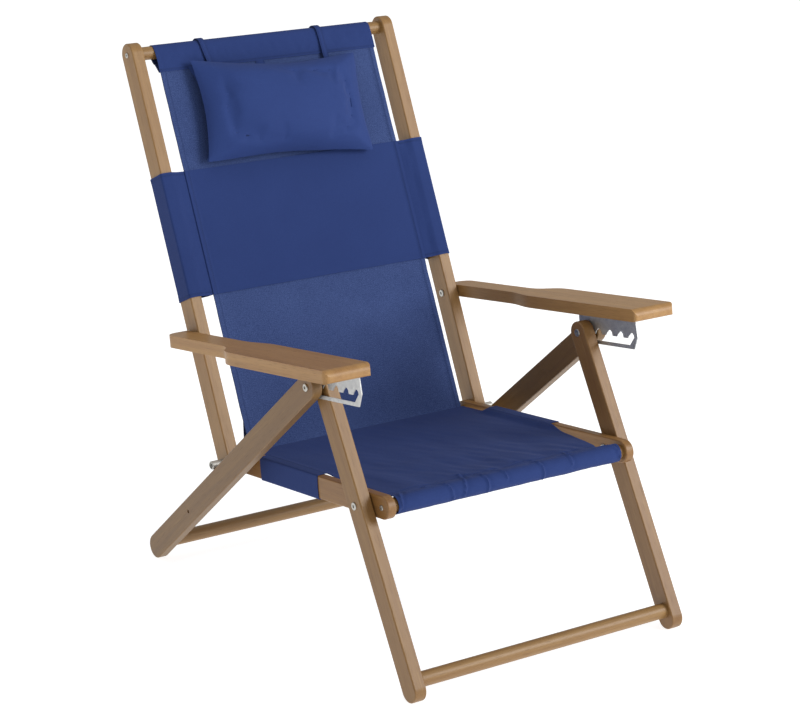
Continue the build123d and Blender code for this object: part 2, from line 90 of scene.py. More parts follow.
bpy.ops.object.camera_add(location=(0, 0, 0))
camera = bpy.context.object
camera.name = "camera"
camera.matrix_world = (Matrix.Translation((-2.2477, -3.3387, 1.6189))
                       @ Matrix.Rotation(math.radians(-34.06), 4, "Z")
                       @ Matrix.Rotation(math.radians(90 - 16.89), 4, "X")
                       @ Matrix.Rotation(math.radians(-0.21), 4, "Z"))
camera.data.sensor_width = 36
camera.data.lens = 111.9
camera.data.shift_x = -0.0018
camera.data.shift_y = 0.0089
bpy.context.scene.camera = camera


# ---- Front leg frame: two boards of a light brown tropical hardwood, straight-grained and
# oiled to a satin finish, joined near the feet by a turned dowel of the same wood.
class Wire:
    """A shader value that joins Math nodes to itself when it is used in an expression."""

    def __init__(self, tree, socket):
        self.tree, self.socket = tree, socket

    def maths(self, operation, *values, **settings):
        step = self.tree.nodes.new("ShaderNodeMath")
        step.operation = operation
        for setting, value in settings.items():
            setattr(step, setting, value)
        for place, value in enumerate(values):
            if isinstance(value, Wire):
                self.tree.links.new(value.socket, step.inputs[place])
            else:
                step.inputs[place].default_value = value
        return Wire(self.tree, step.outputs[0])

    def __add__(self, other):
        return self.maths("ADD", self, other)

    def __radd__(self, other):
        return self.maths("ADD", other, self)

    def __sub__(self, other):
        return self.maths("SUBTRACT", self, other)

    def __rsub__(self, other):
        return self.maths("SUBTRACT", other, self)

    def __mul__(self, other):
        return self.maths("MULTIPLY", self, other)

    def __lt__(self, other):
        return self.maths("LESS_THAN", self, other)

    def __gt__(self, other):
        return self.maths("GREATER_THAN", self, other)

    def __abs__(self):
        return self.maths("ABSOLUTE", self)

    def wave(self):
        return self.maths("SINE", self)

    def clip(self):
        return self.maths("ADD", self, 0.0, use_clamp=True)


class Finish:
    """A material with a Principled shader, whose plain numbers are set on the shader itself."""

    def __init__(self, name, **plain):
        self.material = bpy.data.materials.new(name)
        self.material.use_nodes = True
        self.tree = self.material.node_tree
        self.skin = self.tree.nodes["Principled BSDF"]
        for socket, value in plain.items():
            self.skin.inputs[socket.replace("_", " ")].default_value = value

    def node(self, kind, values=None, out=0, **settings):
        """Adds a shader node with its inputs and settings, and gives one of its outputs."""
        made = self.tree.nodes.new("ShaderNode" + kind)
        for setting, value in settings.items():
            setattr(made, setting, value)
        for socket, value in (values or {}).items():
            if isinstance(value, Wire):
                self.tree.links.new(value.socket, made.inputs[socket])
            else:
                made.inputs[socket].default_value = value
        return Wire(self.tree, made.outputs[out])

    def tint(self, amount, first, second):
        """A colour between two others."""
        return self.node("Mix", {0: amount, 6: first, 7: second}, out=2, data_type="RGBA", blend_type="MIX")

    def across_and_along(self, place):
        """The first two coordinates of a place."""
        axes = self.node("SeparateXYZ", {"Vector": place}).socket.node
        return Wire(self.tree, axes.outputs["X"]), Wire(self.tree, axes.outputs["Y"])

    def speckle(self, place, stretch, scale, detail=2.0, roughness=0.5):
        """Noise over a place that is first stretched along its axes."""
        spot = self.node("VectorMath", {0: place, 1: stretch}, operation="MULTIPLY")
        return self.node("TexNoise", {"Vector": spot, "Scale": scale, "Detail": detail, "Roughness": roughness})

    def feed(self, colour, roughness, height, depth, strength):
        """Joins a colour, a roughness and a bump to the shader. depth and strength are the bump's."""
        bump = self.node("Bump", {"Height": height, "Distance": depth, "Strength": strength})
        for socket, wire in (("Base Color", colour), ("Roughness", roughness), ("Normal", bump)):
            self.tree.links.new(wire.socket, self.skin.inputs[socket])


def paint(red, green, blue):
    """A colour given as it looks on a screen, 0 to 255, as the linear colour a shader takes."""
    return tuple(((c / 255 + 0.055) / 1.055) ** 2.4 if c > 10 else c / 3294
                 for c in (red, green, blue)) + (1.0,)


def dress(material, *names):
    """Gives a material to CAD nodes, or to the left and right ones of a pair."""
    for name in names:
        for part in [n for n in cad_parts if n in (name, name + "_left", name + "_right")]:
            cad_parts[part].data.materials.clear()
            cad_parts[part].data.materials.append(material)


def middle(node):
    """The middle of a CAD node's box, on the chair's centre plane."""
    low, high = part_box(node)
    return Vector((0, (low.y + high.y) / 2, (low.z + high.z) / 2))


def slope(start, end):
    """The angle of a line in the side view, from straight back (+Y) towards up."""
    return math.atan2(end.z - start.z, end.y - start.y)


def wood(name, turn, light=(142, 106, 56), dark=(120, 83, 40), seed=0.0):
    """Satin hardwood whose grain runs along the board: turn brings the board's length onto Y."""
    oiled = Finish(name, Roughness=0.5, Coat_Weight=0.22, Coat_Roughness=0.3)
    place = oiled.node("TexCoord", out="Object")
    lying = oiled.node("Mapping", {"Vector": place, "Rotation": turn, "Location": (seed, seed * 0.7, -seed)})
    sway = oiled.speckle(lying, (6, 1.4, 6), 1.0, 1.0)
    shift = oiled.node("CombineXYZ", {"X": (sway - 0.5) * 0.012, "Z": (sway - 0.5) * 0.02})
    bent = oiled.node("VectorMath", {0: lying, 1: shift}, operation="ADD")
    bands = oiled.speckle(bent, (85, 2.6, 85), 1.0, 3.0, 0.55)
    threads = oiled.speckle(bent, (520, 11, 520), 1.0, 2.0, 0.6)
    pores = oiled.speckle(bent, (1150, 38, 1150), 1.0, 1.0)
    clouds = oiled.speckle(lying, (7, 2.2, 7), 1.0, 2.0)
    tone = ((bands - 0.5) * 1.5 + (threads - 0.5) * 0.8 + (clouds - 0.5) * 0.9 + 0.5).clip()
    body = oiled.tint(tone, paint(*dark), paint(*light))
    pits = ((pores - 0.6) * 9.0).clip() * 0.34
    flecks = ((threads - 0.63) * 7.0).clip() * 0.22
    colour = oiled.tint(pits, oiled.tint(flecks, body, paint(178, 146, 100)), paint(82, 56, 32))
    oiled.feed(colour, 0.44 + threads * 0.16 + pits * 0.3, threads * 0.5 - pits * 1.6, 0.00025, 0.45)
    return oiled.material


front_foot, rear_foot = middle("front_foot_dowel"), middle("rear_foot_dowel")
top_bolt = middle("top_bolt_right")
dress(wood("front_leg_wood", (-slope(front_foot, top_bolt), 0, 0), seed=0.3), "front_leg")
dowel_wood = wood("turned_dowel_wood", (0, 0, math.pi / 2), (154, 119, 70), (130, 93, 48), seed=1.7)
dress(dowel_wood, "front_foot_dowel")

# ---- Rear leg frame: two wider boards of the same wood outside the front legs, with a small
# plug hole in each outer face, and a second turned dowel between their feet.
dress(wood("rear_leg_wood", (-slope(top_bolt, rear_foot), 0, 0), (127, 95, 50), (107, 75, 37), seed=0.9),
      "rear_leg")
dress(dowel_wood, "rear_foot_dowel")

# ---- Seat frame: two rails with rounded ends, and two dowels between them. The front dowel
# carries the seat cloth's loose sleeve, and the rear one lies where seat and back meet.
seat_front, seat_rear = middle("seat_front_rod"), middle("seat_rear_dowel")
dress(wood("seat_rail_wood", (-slope(seat_front, seat_rear), 0, 0), (148, 108, 56), (124, 84, 38), seed=2.3),
      "seat_rail")
dress(dowel_wood, "seat_front_rod", "seat_rear_dowel")

# ---- Back frame: two long rails, rounded at both ends, with the top dowel between them.
back_top = middle("top_dowel")
dress(wood("back_rail_wood", (-slope(seat_rear, back_top), 0, 0), (159, 122, 72), (137, 99, 51), seed=3.1),
      "back_rail")
dress(dowel_wood, "top_dowel")

# ---- Armrests: thick boards, sawn with a sideways curve, rounded at the nose and along the
# edges, and laid almost level, so that the grain runs from front to back.
ARM_FALL = math.radians(8.1)
dress(wood("armrest_wood", (ARM_FALL, 0, 0), (176, 134, 78), (151, 108, 57), seed=4.2), "armrest")

# ---- Notched plates: bent from galvanised sheet steel, with the soft grey bloom of zinc,
# and held under the armrests by small countersunk screws.
zinc = Finish("galvanised_steel", Metallic=0.9)
zinc_place = zinc.node("TexCoord", out="Object")
zinc_bloom = zinc.speckle(zinc_place, (1, 1, 1), 120.0, 3.0, 0.6)
zinc_flakes = zinc.node("TexVoronoi", {"Vector": zinc_place, "Scale": 210.0, "Randomness": 1.0}, out="Color")
zinc_flake = zinc.node("SeparateColor", {"Color": zinc_flakes})
zinc_tone = ((zinc_bloom - 0.5) * 0.9 + zinc_flake * 0.28 + 0.32).clip()
zinc_scratch = zinc.speckle(zinc_place, (2, 60, 900), 1.0, 2.0)
zinc.feed(zinc.tint(zinc_tone, paint(168, 170, 172), paint(214, 215, 214)),
          0.36 + zinc_bloom * 0.22 + (zinc_scratch - 0.5) * 0.1,
          zinc_tone * 0.4 + zinc_scratch * 0.3, 0.0001, 0.35)
dress(zinc.material, "notch_plate")

# ---- Bolts, screws and washers: bright nickel-plated steel, fine turning marks on the heads;
# pale cast barrels on the rear pivots; black moulded spacers beside the plates.
def plated(name, light, dark, metallic, roughness, scale):
    """A small metal or moulded fitting with faint marks from its making."""
    fitting = Finish(name, Metallic=metallic)
    place = fitting.node("TexCoord", out="Object")
    marks = fitting.speckle(place, (1, 1, 1), scale, 2.0, 0.55)
    smears = fitting.speckle(place, (1, 1, 1), scale * 0.15, 2.0, 0.5)
    fitting.feed(fitting.tint(((marks - 0.5) * 0.8 + smears).clip(), paint(*dark), paint(*light)),
                 roughness + (smears - 0.5) * 0.2, marks, 0.00008, 0.3)
    return fitting.material


nickel = plated("nickel_plate", (208, 206, 200), (158, 156, 150), 0.95, 0.34, 900.0)
dress(nickel, "top_barrel_nut", "seat_pivot_bolt", "top_bolt", "front_rod_screw", "rear_pivot_bolt",
      "top_dowel_screw", "plate_screws", "arm_pivot_bolt")
dress(plated("washer_steel_finish", (176, 176, 174), (140, 140, 138), 0.9, 0.42, 700.0),
      "seat_pivot_washer", "rear_pivot_washer", "arm_pivot_washer")
dress(plated("cast_barrel", (206, 204, 198), (176, 174, 168), 0.55, 0.5, 500.0), "rear_pivot_barrel")
dress(plated("black_spacer", (46, 45, 44), (30, 30, 30), 0.0, 0.55, 600.0),
      "front_leg_spacer", "rear_leg_spacer")

# ---- Back sling: one long piece of woven mesh between the rear dowel and the top dowel, with
# turned side hems and a sleeve at each end. The lower sleeve wraps the rear dowel.
CLOTH = 1.2                       # every cloth's thickness, in millimetres
SLING_HALF = 219.0
HEM = 11.0
back_up = (back_top - seat_rear).normalized()
back_out = Vector((0, -back_up.z, back_up.y))
BACK_LONG = (back_top - seat_rear).length * 1000
TOP_DOWEL_R = (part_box("top_dowel")[1].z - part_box("top_dowel")[0].z) * 500
SLING_MID = TOP_DOWEL_R + 0.3 + CLOTH / 2     # how far the sling stands out from the dowels' centres
SEAM_UP = 680.0                   # the top sleeve's seam, above the rear dowel
SLING_TOP = SEAM_UP + 8.0
BAND_FROM, BAND_TO = 284.0, 502.0             # the lumbar band's lower and upper edges
BAND_MID = (BAND_FROM + BAND_TO) / 2


def on_back(x, up, out):
    """A place on the back frame: millimetres across, up from the rear dowel, and out to the front."""
    return seat_rear + Vector((x, 0, 0)) / 1000 + back_up * (up / 1000) + back_out * (out / 1000)


def ease(value, low, high):
    """0 below low, 1 above high, smooth between."""
    part = min(max((value - low) / (high - low), 0.0), 1.0)
    return part * part * (3 - 2 * part)


def ripple(x, y, size, seed=0.0):
    """A smooth random height between about -1 and 1."""
    return noise.noise(Vector((x / size, y / size, seed)))


def bow(centre_a, centre_b, radius, start, end, steps):
    """Points round an arc, in degrees, in a plane whose axes are a and b."""
    turns = [math.radians(start + (end - start) * k / steps) for k in range(steps + 1)]
    return [(centre_a + radius * math.cos(t), centre_b + radius * math.sin(t)) for t in turns]


def run(start, end, steps):
    """Points along a straight run, without its first."""
    return [(start[0] + (end[0] - start[0]) * k / steps, start[1] + (end[1] - start[1]) * k / steps)
            for k in range(1, steps + 1)]


def lengths(path):
    """How far along a path each of its points lies."""
    far = [0.0]
    for before, after in zip(path, path[1:]):
        far.append(far[-1] + math.dist(before, after))
    return far


def columns(half, pitch, hem=HEM):
    """Distances across a sheet, with close pairs where its side hems step down."""
    inside = half - hem
    count = max(2, round(2 * inside / pitch))
    mid = [-inside + 2 * inside * k / count for k in range(count + 1)]
    return [-half, -half + hem * 0.5, -inside - 0.5] + mid + [inside + 0.5, half - hem * 0.5, half]


def cut_rows(start, end, rim, steps):
    """Distances along a sheet, with a close pair at each cut end."""
    middle_part = [start + 6 + (end - start - 12) * k / steps for k in range(steps + 1)]
    return [start, start + rim] + middle_part + [end - rim, end]


def pick(thing):
    """Selects one object alone and makes it the active one."""
    bpy.ops.object.select_all(action="DESELECT")
    thing.select_set(True)
    bpy.context.view_layer.objects.active = thing


def weave_sheet(name, wide, tall, place, flat, seam):
    """A sheet of cloth as a grid: place gives each point, flat its place on the uncut cloth, and seam how far
    along and beside the nearest line of stitches it lies, all from its column and row."""
    bpy.ops.object.select_all(action="DESELECT")
    bpy.ops.mesh.primitive_grid_add(x_subdivisions=wide - 1, y_subdivisions=tall - 1, size=2.0, calc_uvs=True)
    sheet = bpy.context.object
    sheet.name = sheet.data.name = name
    grid = {v.index: (round((v.co.x + 1) / 2 * (wide - 1)), round((v.co.y + 1) / 2 * (tall - 1)))
            for v in sheet.data.vertices}
    for vertex in sheet.data.vertices:
        vertex.co = place(*grid[vertex.index])
    sheet.data.uv_layers[0].name = "weave"
    sheet.data.uv_layers.new(name="seam")
    weave, seams = sheet.data.uv_layers["weave"], sheet.data.uv_layers["seam"]
    for loop in sheet.data.loops:
        spot = grid[loop.vertex_index]
        weave.data[loop.index].uv = Vector(flat(*spot)) / 1000
        seams.data[loop.index].uv = Vector(seam(*spot)) / 1000
    bpy.ops.object.shade_smooth()
    return sheet, grid


def thicken(sheet, grid, thick, share=None):
    """Gives a sheet its thickness. share is the part of it at each point, so that hems stand out."""
    solid = sheet.modifiers.new("thickness", "SOLIDIFY")
    solid.thickness = thick / 1000
    solid.offset = 0.0
    if share:
        group = sheet.vertex_groups.new(name="hem")
        for index, spot in grid.items():
            group.add([index], share(*spot), "REPLACE")
        solid.vertex_group = "hem"
        solid.thickness_vertex_group = 0.0
    pick(sheet)
    bpy.ops.object.modifier_apply(modifier="thickness")
    bpy.ops.object.shade_smooth_by_angle(angle=math.radians(50))


STITCH_HALF, STITCH_PITCH = 0.00055, 0.0036   # half a stitch's width and the step between two, in metres


def cloth_finish(name, light, dark, pitch, contrast, thread, grain):
    """Plain-woven cloth: crossed threads, slubs and slow fading, with a line of stitches beside each seam and
    painted shade in the groove along it.
    """
    woven = Finish(name, Roughness=0.85, Sheen_Weight=0.03, Sheen_Roughness=0.5, Specular_IOR_Level=0.15)
    flat = woven.node("UVMap", uv_map="weave")
    across, along = woven.across_and_along(flat)
    turn = 2 * math.pi / pitch
    warp = (across * turn).wave()
    weft = (along * turn).wave()
    checks = (warp * weft) * 0.5 + 0.5
    slubs = (woven.speckle(flat, (90, 900, 1), 1.0, 2.0, 0.6)
             + woven.speckle(flat, (900, 90, 1), 1.0, 2.0, 0.6) - 1.0)
    place = woven.node("TexCoord", out="Object")
    fading = woven.speckle(place, (1, 1, 1), 9.0, 3.0, 0.5)
    dust = woven.speckle(flat, (1, 1, 1), 640.0, 1.0)
    tone = ((checks - 0.5) * contrast + slubs * grain + (dust - 0.5) * contrast * 1.3
            + (fading - 0.5) * 0.5 + 0.5).clip()
    body = woven.tint(tone, paint(*dark), paint(*light))
    walk, beside = woven.across_and_along(woven.node("UVMap", uv_map="seam"))
    stitch = (abs(beside) < STITCH_HALF) * ((walk * (2 * math.pi / STITCH_PITCH)).wave() > -0.45)
    # Beside each seam the cloth sinks into a groove: the bump below cuts it, and the colour is darkened there
    # as painted shade in the groove.
    seam_groove_and_shade = 1.0 - (abs(beside) * 420.0).clip()
    body_with_painted_seam_shade = woven.tint(seam_groove_and_shade * 0.3, body, paint(*[c * 0.62 for c in dark]))
    woven.feed(woven.tint(stitch * 0.75, body_with_painted_seam_shade, paint(*thread)), 0.8 + (checks - 0.5) * 0.12,
               checks * 0.5 + slubs * 0.5 - seam_groove_and_shade * 2.2 + stitch * 2.6, 0.00028, 0.55)
    return woven.material


mesh_cloth = cloth_finish("sling_mesh", (73, 92, 143), (31, 47, 92), 0.0021, 1.1, (46, 64, 118), 0.7)
CANVAS_PITCH = 0.0013             # from one canvas thread pair to the next, in metres
canvas = cloth_finish("blue_canvas", (45, 65, 121), (35, 52, 103), CANVAS_PITCH, 0.35, (41, 60, 112), 0.4)

sling_path = [(60.0, SLING_MID - 1.5)] + run((60.0, SLING_MID - 1.5), (3.0, -SLING_MID + 0.2), 12)
sling_path += bow(0, 0, SLING_MID, -90, -270, 20)[1:]
WRAP_END = len(sling_path) - 1    # the last row of the part that wraps the rear dowel
sling_path += run((0.0, SLING_MID), (SLING_TOP, SLING_MID), 120)
sling_far = lengths(sling_path)
sling_across = columns(SLING_HALF, 6.0)


def sling_place(column, row):
    x, (up, out) = sling_across[column], sling_path[row]
    if row > WRAP_END:
        under_band = ease(up, BAND_FROM - 34, BAND_FROM) * (1 - ease(up, BAND_TO, BAND_TO + 38))
        free = ease(up, 20, 90) * (1 - ease(up, SEAM_UP - 40, SEAM_UP)) * (1 - under_band)
        out += free * (0.9 * ripple(x, up, 95, 3.0) + 0.5 * ripple(x, up, 38, 8.0)) - 0.6 * free
        edge = ease(abs(x), 150, SLING_HALF)
        x += math.copysign(1.0, x) * edge * free * 0.9 * ripple(0, up, 60, 5.0)
    return on_back(x, up, out)


def sling_flat(column, row):
    return sling_across[column], sling_far[row]


def sling_seam(column, row):
    return sling_far[row], abs(sling_across[column]) - (SLING_HALF - HEM + 1.8)


def sling_hems(column, row):
    return 1.0 if abs(sling_across[column]) > SLING_HALF - HEM + 0.1 else 0.6


sling, sling_grid = weave_sheet("back_sling_cloth", len(sling_across), len(sling_path),
                                sling_place, sling_flat, sling_seam)
thicken(sling, sling_grid, 2.0, sling_hems)
sling.data.materials.append(mesh_cloth)
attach(sling, "back_frame")
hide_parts("back_sling")

# ---- Top sleeve: a canvas strip folded over the top dowel and sewn through the sling's upper
# edge, slack enough to pucker, with a small blank canvas tab sewn under its middle.
SLEEVE_HALF = 221.0
SLEEVE_FRONT_ROWS = 12            # the rows in front of the dowel, which pucker most
sleeve_start = (SEAM_UP - 1.5, SLING_MID + 1.5)
sleeve_path = [sleeve_start] + run(sleeve_start, (BACK_LONG, SLING_MID), 10)
sleeve_path += bow(BACK_LONG, 0, SLING_MID, 90, -90, 22)[1:]
sleeve_path += run((BACK_LONG, -SLING_MID), (SEAM_UP - 1.5, SLING_MID - 1.4), 12)
sleeve_far = lengths(sleeve_path)
sleeve_across = columns(SLEEVE_HALF, 3.2, 5.0)


def sleeve_place(column, row):
    x, (up, out) = sleeve_across[column], sleeve_path[row]
    loose = math.sin(math.pi * min(max((BACK_LONG + 4 - up) / (BACK_LONG + 4 - SEAM_UP), 0), 1))
    puff = loose * (1.3 + 1.5 * ripple(x, 0, 21, 1.0) + 0.8 * ripple(x, up, 9, 4.0))
    facing = out if up > SEAM_UP + 16 else 1.0
    out += math.copysign(max(puff, 0), facing) * (1.0 if row < SLEEVE_FRONT_ROWS else 0.8)
    return on_back(x * (1 + 0.002 * ripple(up, 0, 14, 2.0)), up, out)


def sleeve_seam(column, row):
    return sleeve_across[column], (sleeve_path[row][0] - SEAM_UP - 2.0)


sleeve, sleeve_grid = weave_sheet("top_sleeve_cloth", len(sleeve_across), len(sleeve_path), sleeve_place,
                                  lambda c, r: (sleeve_across[c], sleeve_far[r]), sleeve_seam)
thicken(sleeve, sleeve_grid, CLOTH)
sleeve.data.materials.append(canvas)
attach(sleeve, "back_frame")
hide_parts("back_sling")

TAB_WIDE, TAB_LOW, TAB_LEFT = 17.5, 656.0, -30.0
tab_across = [TAB_LEFT + TAB_WIDE * k / 8 for k in range(9)]
tab_up = [TAB_LOW + (SEAM_UP - 1 - TAB_LOW) * k / 12 for k in range(13)]


def tab_place(column, row):
    x, up = tab_across[column], tab_up[row]
    return on_back(x, up, SLING_MID + 1.5 + 0.35 * math.sin(math.pi * row / 12) + 0.15 * ripple(x, up, 9))


def tab_seam(column, row):
    from_middle = abs(tab_across[column] - TAB_LEFT - TAB_WIDE / 2)
    return tab_up[row], min(abs(from_middle - TAB_WIDE / 2 + 2.2), 9)


tab, tab_grid = weave_sheet("blank_tab", len(tab_across), len(tab_up), tab_place,
                            lambda c, r: (tab_across[c], tab_up[r]), tab_seam)
thicken(tab, tab_grid, 0.9)
tab.data.materials.append(canvas)
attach(tab, "back_frame")

# ---- Lumbar band: a canvas panel sewn over the sling, and at each side a canvas sleeve that
# runs from under the panel's edge tightly round the back rail.
RAIL_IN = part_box("back_rail_right")[0].x * 1000
RAIL_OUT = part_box("back_rail_right")[1].x * 1000
RAIL_HALF = 20.0
panel_across = columns(SLING_HALF + 1.0, 5.5, 9.0)
panel_up = cut_rows(BAND_FROM, BAND_TO, 1, 38)


def panel_place(column, row):
    x, up = panel_across[column], panel_up[row]
    inner = ease(up, BAND_FROM, BAND_FROM + 30) * (1 - ease(up, BAND_TO - 30, BAND_TO))
    inner *= 1 - ease(abs(x), 190, SLING_HALF)
    out = SLING_MID + 1.75 + inner * (0.7 + 0.7 * ripple(x, up, 80, 6.0) + 0.4 * ripple(x, up, 34, 2.0))
    out += 0.8 * ease(abs(x), 212, SLING_HALF)
    return on_back(x, up + 0.5 * ripple(x, 0, 70, 3.0) * ease(abs(up - BAND_MID), 90, 109), out)


panel, panel_grid = weave_sheet("band_panel", len(panel_across), len(panel_up), panel_place,
                                lambda c, r: (panel_across[c], panel_up[r]),
                                lambda c, r: (panel_up[r], abs(panel_across[c]) - (SLING_HALF - 6.5)))
thicken(panel, panel_grid, CLOTH * 1.5, lambda c, r: 1.0 if abs(panel_across[c]) > SLING_HALF - 8 else 0.66)
panel.data.materials.append(canvas)
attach(panel, "back_frame")
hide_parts("lumbar_band")

WRAP_SEAM = 219.6                 # where the sleeves leave the panel's edge, across
WRAP_BEND = 2.6                   # the bend round the rail's edges
WRAP_FRONT_COLUMNS = 20           # the columns in front of the rail, whose slack stands forward
wrap_out, wrap_in, wrap_half = RAIL_OUT + 0.9, RAIL_IN - 0.9, RAIL_HALF + 0.9
wrap_path = [(WRAP_SEAM, SLING_MID + 0.9)] + run((WRAP_SEAM, SLING_MID + 0.9), (236.0, SLING_MID + 4.6), 6)
wrap_path += run((236.0, SLING_MID + 4.6), (RAIL_IN + 0.6, wrap_half), 5)
wrap_path += run((RAIL_IN + 0.6, wrap_half), (wrap_out - WRAP_BEND, wrap_half), 6)
wrap_path += bow(wrap_out - WRAP_BEND, wrap_half - WRAP_BEND, WRAP_BEND, 90, 0, 6)[1:]
wrap_path += run((wrap_out, wrap_half - WRAP_BEND), (wrap_out, -wrap_half + WRAP_BEND), 12)
wrap_path += bow(wrap_out - WRAP_BEND, -wrap_half + WRAP_BEND, WRAP_BEND, 0, -90, 6)[1:]
wrap_path += run((wrap_out - WRAP_BEND, -wrap_half), (wrap_in + 3.0, -wrap_half), 6)
wrap_path += run((wrap_in + 3.0, -wrap_half), (WRAP_SEAM, SLING_MID - 0.9), 12)
wrap_far = lengths(wrap_path)
wrap_up = cut_rows(BAND_FROM, BAND_TO, 1.5, 46)


def wrap_place(side):
    def place(column, row):
        (x, out), up = wrap_path[column], wrap_up[row]
        rim = ease(abs(up - BAND_MID), 96, 109)
        slack = math.sin(math.pi * ease(x, 221, RAIL_IN)) if x < RAIL_IN else 0.0
        forward = 1 if column < WRAP_FRONT_COLUMNS else -1
        out += slack * (1.2 * ripple(up, side * 40, 48, 7.0) + 0.5 * ripple(up, side * 40, 17, 1.0)) * forward
        grow = 0.25 * rim * (1 + ripple(wrap_far[column], side * 9, 16, 2.0))
        if x > RAIL_IN:
            x += grow if x > RAIL_OUT else 0.0
            out += math.copysign(grow, out)
        return on_back(side * x, up + 0.7 * rim * ripple(wrap_far[column], side * 5, 26, 4.0), out)
    return place


def wrap_seam(column, row):
    return wrap_far[column], abs(wrap_up[row] - BAND_MID) - (BAND_TO - BAND_FROM) / 2 + 5.0


for side, hand in ((-1, "left"), (1, "right")):
    wrap, wrap_grid = weave_sheet("band_sleeve_" + hand, len(wrap_path), len(wrap_up), wrap_place(side),
                                  lambda c, r: (wrap_far[c], wrap_up[r]), wrap_seam)
    thicken(wrap, wrap_grid, CLOTH)
    wrap.data.materials.append(canvas)
    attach(wrap, "back_frame")
    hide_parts("lumbar_band")

# ---- Seat cloth: one canvas from the loose sleeve on the front dowel, widening between the
# rails, to the rear dowel. It is drawn into soft folds and tucks along the front sleeve.
SLEEVE_R = 14.4                   # the loose sleeve's radius
# Its half widths: on the front dowel, between the rails, at the rear, and where it is drawn in
# behind the front sleeve. Then from where to where it is sewn to the rail sleeves.
FRONT_HALF, MEET_HALF, REAR_HALF = 221.0, 226.6, 222.0
TAPER_LEFT, TAPER_RIGHT = 222.5, 191.0
FLAP_FROM, FLAP_TO = 185.0, 365.0
FLAP_MID = (FLAP_FROM + FLAP_TO) / 2
RAIL_MEET = 19.9                  # its height where it meets the rail sleeves
seat_back = (seat_rear - seat_front).normalized()
seat_up = Vector((0, -seat_back.z, seat_back.y))
SEAT_LONG = (seat_rear - seat_front).length * 1000
SEAT_END = SEAT_LONG - 11.0
BEND_FROM = SEAT_LONG - 64.0


def on_seat(x, back, up):
    """A place on the seat frame: millimetres across, back from the front dowel, and up."""
    return seat_front + Vector((x, 0, 0)) / 1000 + seat_back * (back / 1000) + seat_up * (up / 1000)


def seat_height(back):
    return SLEEVE_R - 2.5 * back / SEAT_LONG


seat_path = bow(0, 0, SLEEVE_R, 398, 90, 44)[:-1] + [(0.0, SLEEVE_R), (2.4, SLEEVE_R), (5.0, SLEEVE_R)]
seat_path += run((5.0, seat_height(5)), (45.0, seat_height(45)), 16)
seat_path += run((45.0, seat_height(45)), (SEAT_END, seat_height(SEAT_END)), 84)
SEAT_TOP_ROW = 44
seat_far = lengths(seat_path)
seat_across = [k / 88 for k in range(-88, 89)]
# Each tuck is a line of points: millimetres across, and along the cloth from the top of the front dowel.
TUCKS = [[(35, 30), (49, 19), (57, 5), (60, -12), (61, -34)],
         [(-80, 30), (-60, 20), (-53, 4), (-50, -14), (-49, -34)],
         [(-77, 28), (-83, 10), (-91, -10), (-97, -30)],
         [(-157, 8), (-141, 14), (-128, 4), (-121, -12), (-117, -32)],
         [(194, 8), (204, 0), (213, -12), (217, -28)], [(-205, 6), (-214, -8), (-217, -25)],
         [(-20, 14), (-14, 2), (-12, -18)], [(126, 16), (120, 2), (119, -20)]]
TUCKS_FROM, TUCKS_TO = -48, 45    # how far along the cloth they are felt


def seat_half(column, row):
    """Half the cloth's width, drawn in more behind the front sleeve on the right than on the left."""
    back = seat_path[row][0]
    if row <= SEAT_TOP_ROW + 1:
        return FRONT_HALF
    narrow = TAPER_RIGHT if seat_across[column] > 0 else TAPER_LEFT
    taper = min(MEET_HALF, narrow + (MEET_HALF - narrow) * max(back - 16, 0) / (FLAP_FROM - 16))
    return taper + (REAR_HALF - MEET_HALF) * ease(back, FLAP_TO - 4, FLAP_TO + 3)


def fold_height(x, walk):
    """The front tucks: a narrow raised fold with a groove beside it."""
    height = 0.0
    for tuck in TUCKS:
        best, beside = 1e9, 0.0
        for (ax, aw), (bx, bw) in zip(tuck, tuck[1:]):
            along = ((x - ax) * (bx - ax) + (walk - aw) * (bw - aw)) / ((bx - ax) ** 2 + (bw - aw) ** 2)
            along = min(max(along, 0), 1)
            gap_x, gap_w = x - ax - along * (bx - ax), walk - aw - along * (bw - aw)
            if math.hypot(gap_x, gap_w) < best:
                best = math.hypot(gap_x, gap_w)
                beside = math.copysign(best, gap_x * (bw - aw) - gap_w * (bx - ax))
        fade = 1 - ease(best, 9, 14)
        height += fade * (2.5 * math.exp(-(beside / 2.3) ** 2) - 1.7 * math.exp(-((beside + 4.4) / 3.0) ** 2))
    return height


